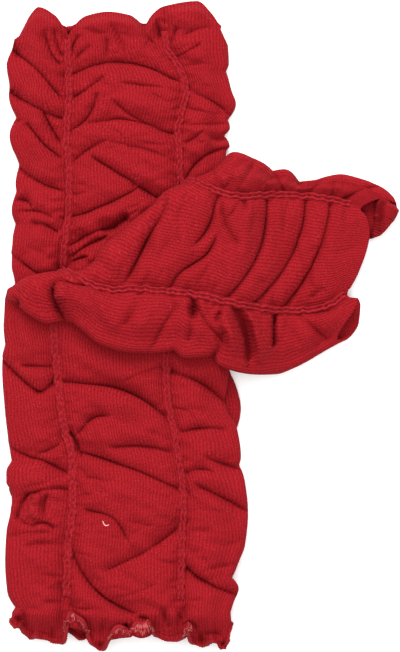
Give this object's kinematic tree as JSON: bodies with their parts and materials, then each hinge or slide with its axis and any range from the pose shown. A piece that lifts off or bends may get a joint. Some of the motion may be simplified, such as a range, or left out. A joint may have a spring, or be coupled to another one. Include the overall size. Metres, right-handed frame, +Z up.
{
  "type": "pair of baby leg warmers",
  "caption": "A pair of ruched rib-knit baby leg warmers with fluted hems, one laid straight and the other laid on it with its upper half folded across to the side",
  "frame": {"origin": "On the flat underside of the straight leg warmer, at the middle of its width and a little above the middle of its length", "axes": "+Z up off the surface it lies on, +Y along the straight leg warmer towards its smooth top edge, +X to the side that the folded half points to"},
  "size_m": [0.1737, 0.2826, 0.0271],
  "materials": {
    "knit": "soft matt rib knit, bright red",
    "shirring": "raised rows of elastic stitching, red",
    "edging": "dense overlocked thread along a stretched edge, red"
  },
  "bodies": {
    "root": {"under_body": "knit", "over_body": "knit", "under_hem": "edging", "over_hem": "edging", "under_left_line": "shirring", "under_right_line": "shirring", "over_lower_left_line": "shirring", "over_lower_right_line": "shirring", "over_upper_bottom_line": "shirring", "over_upper_top_line": "shirring"}
  },
  "joints": []
}
